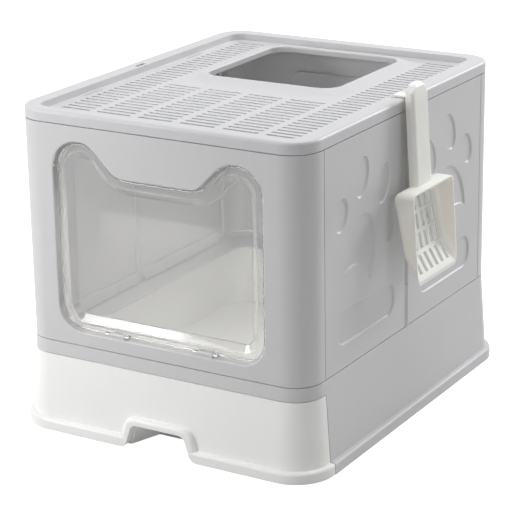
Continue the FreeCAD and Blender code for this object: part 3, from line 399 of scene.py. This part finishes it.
def plastic(name, colour, sheen, soft=0.0, drift=0.02, bump=0.05, edge_wear_and_light=0.25):
    """Moulded plastic with grain, a drifting colour and paler convex edges, partly wear and partly a painted
    highlight; soft is how much light enters it.
    """
    finish = bpy.context.scene.litter_box_finish
    material, tree, shader, _ = new_material(name)
    resin = place_group(tree, "Resin drift", -500, 200, Colour=colour, Drift=drift)
    # Paler colour for convex edges: partly wear, partly a painted highlight
    pale = [min(1.0, part + EDGE_PALER) for part in colour[:3]] + [1.0]
    edges = place_group(tree, "Rubbed edges", -200, 200, Rubbed=pale, Amount=edge_wear_and_light)
    join(tree, resin.outputs["Colour"], edges.inputs["Colour"])
    join(tree, edges.outputs["Colour"], shader.inputs["Base Color"])
    add_grain(tree, shader, finish.grain_size, sheen, SHEEN_DRIFT, bump)
    shader.inputs["Subsurface Weight"].default_value = soft
    shader.inputs["Subsurface Radius"].default_value = LIGHT_SPREAD
    shader.inputs["Subsurface Scale"].default_value = finish.light_reach
    shader.inputs["IOR"].default_value = PLASTIC_IOR
    return material


def clear_plastic(name, colour, ior):
    """Polished clear plastic with a faint haze and a tint edge on, which lets lamp light through."""
    finish = bpy.context.scene.litter_box_finish
    material, tree, shader, output = new_material(name)
    shader.inputs["Base Color"].default_value = colour
    shader.inputs["Transmission Weight"].default_value = 1.0 - finish.door_haze
    shader.inputs["IOR"].default_value = ior
    add_grain(tree, shader, finish.grain_size * DOOR_GRAIN, DOOR_SHEEN, DOOR_SHEEN_DRIFT, DOOR_BUMP)
    depth = add_node(tree, "ShaderNodeVolumeAbsorption", 400, -200)
    depth.inputs["Color"].default_value = finish.edge_tint
    depth.inputs["Density"].default_value = finish.edge_depth
    join(tree, depth.outputs["Volume"], output.inputs["Volume"])
    lamp = add_node(tree, "ShaderNodeLightPath", 200, 400)
    through = add_node(tree, "ShaderNodeBsdfTransparent", 400, 300)
    through.inputs["Color"].default_value = colour
    either = add_node(tree, "ShaderNodeMixShader", 620, 100)
    join(tree, lamp.outputs["Is Shadow Ray"], either.inputs[0])
    join(tree, shader.outputs["BSDF"], either.inputs[1])
    join(tree, through.outputs["BSDF"], either.inputs[2])
    join(tree, either.outputs["Shader"], output.inputs["Surface"])
    return material


def drawn_steel(name, colour):
    """Drawn steel wire with a fine, uneven sheen."""
    material, tree, shader, _ = new_material(name)
    shader.inputs["Metallic"].default_value = 1.0
    resin = place_group(tree, "Resin drift", -400, 200, Colour=colour, Drift=WIRE_DRIFT)
    join(tree, resin.outputs["Colour"], shader.inputs["Base Color"])
    grain = place_group(
        tree, "Moulded grain", -400, -200,
        Grain_size=WIRE_GRAIN, Sheen=WIRE_SHEEN, Sheen_drift=WIRE_SHEEN_DRIFT)
    join(tree, grain.outputs["Roughness"], shader.inputs["Roughness"])
    return material


def select_only(piece):
    """Makes one object the selected and active one."""
    bpy.ops.object.select_all(action="DESELECT")
    piece.select_set(True)
    bpy.context.view_layer.objects.active = piece


def moulded(node, material, edge):
    """A copy of a CAD piece with its sharp edges rounded, in place of the piece."""
    piece = bpy.data.objects.new(node + "_moulded", NODES[node].data.copy())
    bpy.context.scene.collection.objects.link(piece)
    select_only(piece)
    bpy.ops.mesh.customdata_custom_splitnormals_clear()
    bpy.ops.object.mode_set(mode="EDIT")
    bpy.ops.mesh.select_all(action="SELECT")
    bpy.ops.mesh.remove_doubles(threshold=MERGE)
    bpy.ops.object.mode_set(mode="OBJECT")
    rounded = piece.modifiers.new("Rounded edges", "BEVEL")
    rounded.width = edge
    rounded.segments = BEVEL_SEGMENTS
    rounded.limit_method = "ANGLE"
    rounded.angle_limit = SHARP_ANGLE
    rounded.use_clamp_overlap = False
    rounded.loop_slide = False
    bpy.ops.object.modifier_apply(modifier=rounded.name)
    bpy.ops.object.shade_smooth_by_angle(angle=SHARP_ANGLE)
    weighted = piece.modifiers.new("Flat faces stay flat", "WEIGHTED_NORMAL")
    weighted.keep_sharp = True
    bpy.ops.object.modifier_apply(modifier=weighted.name)
    piece.data.materials.clear()
    piece.data.materials.append(material)
    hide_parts(node)
    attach(piece, BODY_OF[node])
    return piece


class LITTERBOX_OT_base(bpy.types.Operator):
    """Finish the base that holds the drawer"""

    bl_idname = "litter_box.base"
    bl_label = "Base"

    def execute(self, context):
        finish = context.scene.litter_box_finish
        material = plastic("Base plastic", finish.base_colour, sheen=0.44)
        moulded("base_housing", material, finish.edge_round)
        return {"FINISHED"}


class LITTERBOX_OT_drawer(bpy.types.Operator):
    """Finish the litter drawer"""

    bl_idname = "litter_box.drawer"
    bl_label = "Drawer"

    def execute(self, context):
        finish = context.scene.litter_box_finish
        material = plastic("Drawer plastic", finish.drawer_colour, sheen=0.36)
        moulded("drawer", material, finish.edge_round)
        return {"FINISHED"}


class LITTERBOX_OT_walls(bpy.types.Operator):
    """Finish the six folding walls"""

    bl_idname = "litter_box.walls"
    bl_label = "Folding walls"

    def execute(self, context):
        finish = context.scene.litter_box_finish
        material = plastic("Wall plastic", finish.wall_colour, sheen=0.44)
        for node in WALLS:
            moulded(node, material, finish.edge_round)
        return {"FINISHED"}


class LITTERBOX_OT_pins(bpy.types.Operator):
    """Finish the hinge pins of the walls and of the door"""

    bl_idname = "litter_box.pins"
    bl_label = "Hinge pins"

    def execute(self, context):
        finish = context.scene.litter_box_finish
        rod = plastic("Hinge rod plastic", finish.wall_colour, sheen=0.5)
        for node in UPRIGHT_PINS:
            NODES[node].material_slots[0].material = rod
        wire = drawn_steel("Drawn steel", finish.steel_colour)
        NODES["door_hinge_pins"].material_slots[0].material = wire
        return {"FINISHED"}


class LITTERBOX_OT_door(bpy.types.Operator):
    """Finish the clear door"""

    bl_idname = "litter_box.door"
    bl_label = "Clear door"

    def execute(self, context):
        finish = context.scene.litter_box_finish
        material = clear_plastic("Clear plastic", finish.door_colour, finish.door_ior)
        moulded("door", material, finish.edge_round)
        return {"FINISHED"}


class LITTERBOX_OT_lid(bpy.types.Operator):
    """Finish the vented lid"""

    bl_idname = "litter_box.lid"
    bl_label = "Lid"

    def execute(self, context):
        finish = context.scene.litter_box_finish
        # The lid grey carries a faint painted tint of the light on its top
        material = plastic("Lid plastic", finish.lid_colour, sheen=0.42)
        moulded("lid", material, finish.edge_round)
        return {"FINISHED"}


class LITTERBOX_OT_scoop(bpy.types.Operator):
    """Finish the hanging scoop"""

    bl_idname = "litter_box.scoop"
    bl_label = "Scoop"

    def execute(self, context):
        finish = context.scene.litter_box_finish
        material = plastic("Scoop plastic", finish.scoop_colour, sheen=0.38, soft=0.8)
        moulded("scoop", material, finish.edge_round)
        return {"FINISHED"}


def soft_light(name, place, target, side, power, beam=OPEN_BEAM):
    """A square light aimed at a point; a beam below 180 degrees is narrowed by a grid."""
    bpy.ops.object.light_add(type="AREA", location=place)
    light = bpy.context.object
    light.name = name
    light.data.shape = "SQUARE"
    light.data.size = side
    light.data.energy = power
    light.data.spread = math.radians(beam)
    light.rotation_euler = (Vector(target) - Vector(place)).to_track_quat("-Z", "Y").to_euler()
    return light


def sharp_rays(tree, x, y):
    """Socket that is 1 for what the camera sees straight, mirrored or through the clear door."""
    ray = add_node(tree, "ShaderNodeLightPath", x - 500, y)
    mirrored = arithmetic(tree, x - 250, y, "ADD", ray.outputs["Is Camera Ray"], ray.outputs["Is Glossy Ray"])
    return arithmetic(tree, x, y, "ADD", mirrored, ray.outputs["Is Transmission Ray"])


def floor_material(shade, glow):
    """Matt floor that the camera sees overexposed, as a photographer's sweep."""
    material, tree, shader, output = new_material("Floor")
    resin = place_group(tree, "Resin drift", -400, 200, Colour=(shade, shade, shade, 1), Drift=FLOOR_DRIFT)
    join(tree, resin.outputs["Colour"], shader.inputs["Base Color"])
    shader.inputs["Roughness"].default_value = 1.0
    shader.inputs["Specular IOR Level"].default_value = 0.0
    seen = add_node(tree, "ShaderNodeEmission", 400, 300)
    seen.inputs["Strength"].default_value = glow
    both = add_node(tree, "ShaderNodeAddShader", 620, 200)
    join(tree, shader.outputs["BSDF"], both.inputs[0])
    join(tree, seen.outputs["Emission"], both.inputs[1])
    either = add_node(tree, "ShaderNodeMixShader", 800, 100)
    join(tree, sharp_rays(tree, 400, 500), either.inputs[0])
    join(tree, shader.outputs["BSDF"], either.inputs[1])
    join(tree, both.outputs["Shader"], either.inputs[2])
    join(tree, either.outputs["Shader"], output.inputs["Surface"])
    material.cycles.emission_sampling = "NONE"
    return material


def white_room(strength):
    """A room that lights the box evenly and shows white behind it."""
    world = bpy.data.worlds.new("White room")
    world.use_nodes = True
    tree = world.node_tree
    tree.nodes.clear()
    light = add_node(tree, "ShaderNodeBackground", 0, 0)
    light.inputs["Strength"].default_value = strength
    light.inputs["Color"].default_value = WHITE
    seen = add_node(tree, "ShaderNodeBackground", 0, -200)
    seen.inputs["Color"].default_value = WHITE
    either = add_node(tree, "ShaderNodeMixShader", 300, 0)
    output = add_node(tree, "ShaderNodeOutputWorld", 500, 0)
    join(tree, sharp_rays(tree, 0, 300), either.inputs[0])
    join(tree, light.outputs["Background"], either.inputs[1])
    join(tree, seen.outputs["Background"], either.inputs[2])
    join(tree, either.outputs["Shader"], output.inputs["Surface"])
    world.cycles.sampling_method = "NONE"
    return world


def camera_matrix(studio):
    """Where the camera stands and how it is turned."""
    ahead = Vector((-math.sin(studio.yaw) * math.cos(studio.pitch),
                    math.cos(studio.yaw) * math.cos(studio.pitch), -math.sin(studio.pitch)))
    right = Vector((math.cos(studio.yaw), math.sin(studio.yaw), 0))
    up = right.cross(ahead)
    turned_right = math.cos(studio.roll) * right + math.sin(studio.roll) * up
    turned_up = math.cos(studio.roll) * up - math.sin(studio.roll) * right
    matrix = Matrix((turned_right, turned_up, -ahead)).transposed().to_4x4()
    matrix.translation = studio.camera_place
    return matrix


class LITTERBOX_OT_studio(bpy.types.Operator):
    """Set up the floor, the lights and the camera"""

    bl_idname = "litter_box.studio"
    bl_label = "Studio"

    def execute(self, context):
        studio = context.scene.litter_box_studio
        bpy.ops.mesh.primitive_plane_add(size=2 * studio.floor_half, location=(0, 0, CAD_LOW[2]))
        floor = context.object
        floor.name = "studio_floor"
        floor.data.materials.append(floor_material(studio.floor_shade, studio.floor_glow))

        middle = (Vector(CAD_LOW) + Vector(CAD_HIGH)) / 2
        front_left = Vector((CAD_LOW[0], CAD_LOW[1], middle.z))
        soft_light("Key light", KEY_PLACE, front_left, KEY_SIDE, studio.key_power, KEY_BEAM)
        soft_light("Front light", FRONT_PLACE, middle, FRONT_SIDE, studio.front_power)
        soft_light("Fill light", FILL_PLACE, middle, FILL_SIDE, studio.fill_power)
        soft_light("Rear light", REAR_PLACE, middle, REAR_SIDE, studio.rear_power)
        soft_light("Top light", TOP_PLACE, middle, TOP_SIDE, studio.top_power)
        cabin_foot = Vector((0, 0, CAD_LOW[2]))
        cabin = soft_light("Cabin light", CABIN_PLACE, cabin_foot, CABIN_SIDE, studio.cabin_power, CABIN_BEAM)
        cabin.visible_camera = False
        cabin.visible_transmission = False
        cabin.visible_glossy = False
        context.scene.world = white_room(studio.air)

        lens = bpy.data.cameras.new("Photo camera")
        lens.sensor_fit = "HORIZONTAL"
        lens.sensor_width = PHOTO_SENSOR
        lens.lens = studio.lens
        camera = bpy.data.objects.new("Photo camera", lens)
        context.scene.collection.objects.link(camera)
        camera.matrix_world = camera_matrix(studio)
        context.scene.camera = camera
        context.scene.view_settings.view_transform = "Standard"
        return {"FINISHED"}


class LITTERBOX_PT_sidebar(bpy.types.Panel):
    """Lists the pieces of the litter box"""

    bl_idname = "LITTERBOX_PT_sidebar"
    bl_label = "Litter box"
    bl_space_type = "VIEW_3D"
    bl_region_type = "UI"
    bl_category = "Litter box"

    def draw(self, context):
        layout = self.layout
        for operator in OPERATORS:
            layout.operator(operator.bl_idname)
        for group in (context.scene.litter_box_finish, context.scene.litter_box_studio):
            box = layout.box()
            for name in group.bl_rna.properties.keys():
                if name not in ("rna_type", "name"):
                    box.prop(group, name)


OPERATORS = (LITTERBOX_OT_base, LITTERBOX_OT_drawer, LITTERBOX_OT_walls, LITTERBOX_OT_pins, LITTERBOX_OT_door,
             LITTERBOX_OT_lid, LITTERBOX_OT_scoop, LITTERBOX_OT_studio)
CLASSES = (BoxFinish, BoxStudio) + OPERATORS + (LITTERBOX_PT_sidebar,)


def register():
    for item in CLASSES:
        bpy.utils.register_class(item)
    bpy.types.Scene.litter_box_finish = bpy.props.PointerProperty(type=BoxFinish)
    bpy.types.Scene.litter_box_studio = bpy.props.PointerProperty(type=BoxStudio)


def unregister():
    del bpy.types.Scene.litter_box_studio
    del bpy.types.Scene.litter_box_finish
    for item in reversed(CLASSES):
        bpy.utils.unregister_class(item)


def main():
    register()
    bpy.ops.litter_box.base()
    bpy.ops.litter_box.drawer()
    bpy.ops.litter_box.walls()
    bpy.ops.litter_box.pins()
    bpy.ops.litter_box.door()
    bpy.ops.litter_box.lid()
    bpy.ops.litter_box.scoop()
    bpy.ops.litter_box.studio()


if __name__ == "__main__":
    main()
